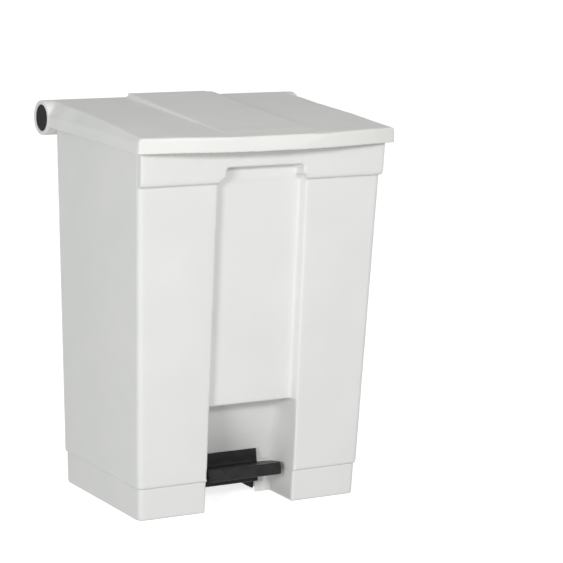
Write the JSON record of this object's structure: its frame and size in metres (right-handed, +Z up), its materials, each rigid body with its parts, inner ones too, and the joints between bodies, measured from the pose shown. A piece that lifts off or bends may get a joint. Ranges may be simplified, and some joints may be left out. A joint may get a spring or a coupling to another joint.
{
  "type": "pedal bin",
  "caption": "White plastic step-on waste bin with a full-width rear-hinged lid, lifted through a hidden rod by a black foot pedal in the front recess.",
  "frame": {"origin": "on the floor, below the middle of the bin's overall plan", "axes": "+Z up, +X to the bin's right, -Y towards the pedal side, +Y towards the hinge"},
  "size_m": [0.502, 0.4154, 0.6728],
  "materials": {
    "white_body": "fine-grained white polyethylene, satin",
    "white_plinth": "fine-grained white polyethylene, satin",
    "white_cover": "white polyethylene, satin",
    "white_lid": "fine-grained white polyethylene, satin",
    "black_cap": "black moulded plastic",
    "black_pedal": "black moulded plastic, pebbled tread",
    "black_rubber": "soft black rubber",
    "grey_nylon": "grey nylon",
    "bright_steel": "bright drawn steel",
    "zinc_steel": "zinc-plated steel",
    "zinc_screw": "zinc-plated screws"
  },
  "bodies": {
    "bin_body": {"tub": "white_body", "hinge_bracket_left": "white_cover", "hinge_bracket_right": "white_cover", "bracket_screws": "zinc_screw", "base_frame": "white_plinth", "axle_cradle": "black_pedal", "base_screws": "zinc_screw", "rear_cover": "white_cover", "rear_cover_screws": "zinc_screw", "upper_rod_guide": "grey_nylon", "lower_rod_guide": "grey_nylon", "pedal_axle": "bright_steel", "axle_clip_left": "zinc_steel", "axle_clip_right": "zinc_steel", "rest_pad": "black_rubber"},
    "lid": {"lid": "white_lid", "hinge_rod": "bright_steel", "end_cap_left": "black_cap", "end_cap_right": "black_cap", "lift_lug": "grey_nylon", "lug_screws": "zinc_screw", "lid_bumper_left": "black_rubber", "lid_bumper_right": "black_rubber"},
    "pedal": {"pedal": "black_pedal", "lever_left": "zinc_steel", "lever_right": "zinc_steel", "lever_rivets": "zinc_steel", "axle_bush_left": "grey_nylon", "axle_bush_right": "grey_nylon", "lift_bar": "bright_steel"},
    "lift_rod": {"lift_rod": "bright_steel", "rod_foot": "grey_nylon", "rod_pusher": "grey_nylon"}
  },
  "joints": [
    {"name": "lid_hinge", "type": "hinge", "parent": "bin_body", "child": "lid", "pos_m": [0, 0.1777, 0.6355], "axis": [-1, 0, 0], "range_deg": [0, 70]},
    {"name": "pedal_pivot", "type": "hinge", "parent": "bin_body", "child": "pedal", "pos_m": [0, -0.01, 0.046], "axis": [1, 0, 0], "range_deg": [0, 21]},
    {"name": "lift_rod_slide", "type": "slide", "parent": "bin_body", "child": "lift_rod", "axis": [0, 0.029, 0.9996], "range_m": [0, 0.0482]}
  ],
  "couplings": [
    {"joint": "pedal_pivot", "follows": "lid_hinge", "ratio": 0.29929},
    {"joint": "lift_rod_slide", "follows": "lid_hinge", "m_per_rad": 0.039303}
  ]
}
